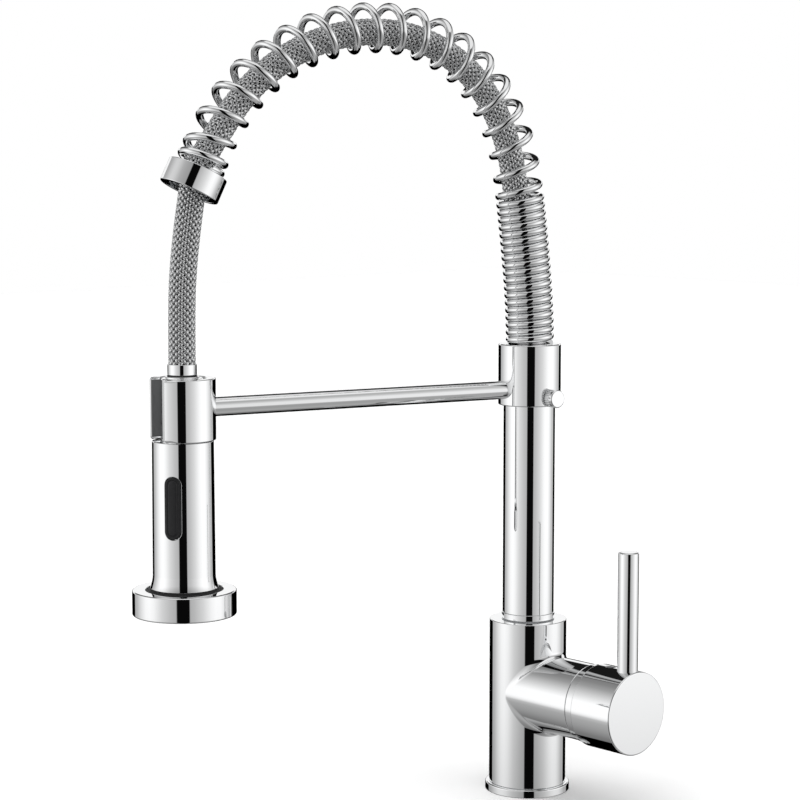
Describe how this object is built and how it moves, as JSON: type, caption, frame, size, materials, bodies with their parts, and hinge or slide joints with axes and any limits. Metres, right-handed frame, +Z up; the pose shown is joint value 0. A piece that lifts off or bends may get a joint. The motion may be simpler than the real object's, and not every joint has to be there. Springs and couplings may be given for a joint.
{
  "type": "pull down kitchen faucet",
  "caption": "Deck-mounted kitchen faucet with a side lever, swivelling column, spring arch over a braided hose, docking arm and pull-down spray head.",
  "frame": {"origin": "centre of the base's underside, on the deck", "axes": "+Z up along the column; +X along the side branch to the handle; the docking arm points to the front, 105.2 degrees clockwise from +X seen from above"},
  "size_m": [0.1729, 0.2664, 0.4633],
  "materials": {
    "chrome": "polished",
    "spring_steel": "polished",
    "steel_braid": "woven",
    "brass": "machined",
    "steel": "machined",
    "rubber": "matte",
    "ceramic": "lapped",
    "black_plastic": "satin",
    "grey_plastic": "satin"
  },
  "bodies": {
    "faucet_base": {"base_ring": "chrome", "base_gasket": "rubber", "faucet_body": "chrome", "port_seals": "rubber", "cartridge_housing": "grey_plastic", "fixed_disc": "ceramic", "cartridge_nut": "brass", "bonnet_ring": "chrome", "spout_clip": "steel", "spout_washer": "grey_plastic"},
    "cartridge_turret": {"cartridge_turret": "grey_plastic", "spindle_pin": "steel"},
    "moving_disc": {"moving_disc": "ceramic", "disc_carrier": "grey_plastic"},
    "handle": {"spindle": "steel", "handle": "chrome", "lever": "chrome", "set_screw": "steel"},
    "column": {"column_foot": "chrome", "spout_seals": "rubber", "column_tube": "chrome", "hose_connector": "brass", "riser_hose": "steel_braid"},
    "docking_arm": {"arm_collar": "chrome", "spring_seat": "steel", "arm_rod": "chrome", "dock_clip": "chrome", "arch_spring": "spring_steel", "arch_hose": "steel_braid", "hose_foot": "steel_braid"},
    "thumb_screw": {"thumb_screw": "chrome"},
    "spring_end": {"spring_cap": "chrome", "cap_bushing": "grey_plastic", "hose_stub": "steel_braid"},
    "bare_hose": {"pull_hose": "steel_braid"},
    "hose_end": {"hose_ferrule": "chrome", "hose_nipple": "brass", "nipple_washer": "rubber"},
    "spray_head": {"spray_neck": "chrome", "spray_body": "chrome", "spray_core": "grey_plastic", "check_valve": "grey_plastic", "spray_face_ring": "chrome", "face_plate": "grey_plastic", "nozzle_pad": "rubber", "spray_manifold": "grey_plastic", "aerator": "grey_plastic"},
    "spray_button": {"spray_button": "black_plastic"},
    "diverter": {"diverter_spool": "grey_plastic"}
  },
  "joints": [
    {"name": "handle_turn", "type": "hinge", "parent": "faucet_base", "child": "cartridge_turret", "pos_m": [0.04, 0, 0.0608], "axis": [1, 0, 0], "range_deg": [-45, 45]},
    {"name": "handle_lift", "type": "hinge", "parent": "cartridge_turret", "child": "handle", "pos_m": [0.04, 0, 0.0608], "axis": [0, 1, 0], "range_deg": [0, 20]},
    {"name": "disc_shift", "type": "slide", "parent": "cartridge_turret", "child": "moving_disc", "axis": [0, 0, 1], "range_m": [0, 0.0056]},
    {"name": "spout_swivel", "type": "hinge", "parent": "faucet_base", "child": "column", "pos_m": [0, 0, 0.095], "axis": [0, 0, 1], "continuous": true},
    {"name": "arm_swivel", "type": "hinge", "parent": "column", "child": "docking_arm", "pos_m": [0, 0, 0.25], "axis": [0, 0, 1], "range_deg": [-90, 90]},
    {"name": "thumb_screw_turn", "type": "hinge", "parent": "docking_arm", "child": "thumb_screw", "pos_m": [0.01989, -0.00209, 0.237], "axis": [0.9945, -0.1045, 0], "range_deg": [0, 360]},
    {"name": "arch_flex", "type": "hinge", "parent": "docking_arm", "child": "spring_end", "pos_m": [-0.00184, -0.00675, 0.35648], "axis": [0.965, -0.2622, 0], "range_deg": [0, 15.8], "deforming": ["arch_spring", "arch_hose"]},
    {"name": "hose_hang", "type": "hinge", "parent": "spring_end", "child": "bare_hose", "pos_m": [-0.05566, -0.20486, 0.36538], "axis": [-0.965, 0.2622, 0], "range_deg": [0, 15.8]},
    {"name": "spray_pull", "type": "slide", "parent": "bare_hose", "child": "hose_end", "axis": [0, 0, -1], "range_m": [0, 0.055], "stiffness_N_per_m": 90, "springref_m": -0.2, "deforming": ["pull_hose"]},
    {"name": "spray_swivel", "type": "hinge", "parent": "hose_end", "child": "spray_head", "pos_m": [-0.05776, -0.21259, 0.245], "axis": [0, 0, 1], "continuous": true},
    {"name": "button_press", "type": "slide", "parent": "spray_head", "child": "spray_button", "axis": [-0.5344, 0.8453, 0], "range_m": [0, 0.0015], "stiffness_N_per_m": 600},
    {"name": "diverter_slide", "type": "slide", "parent": "spray_head", "child": "diverter", "axis": [0, 0, -1], "range_m": [0, 0.003]}
  ],
  "couplings": [
    {"joint": "disc_shift", "follows": "handle_lift", "m_per_rad": 0.016},
    {"joint": "arch_flex", "follows": "spray_pull", "rad_per_m": 5},
    {"joint": "hose_hang", "follows": "spray_pull", "rad_per_m": 5},
    {"joint": "diverter_slide", "follows": "button_press", "ratio": 2}
  ]
}
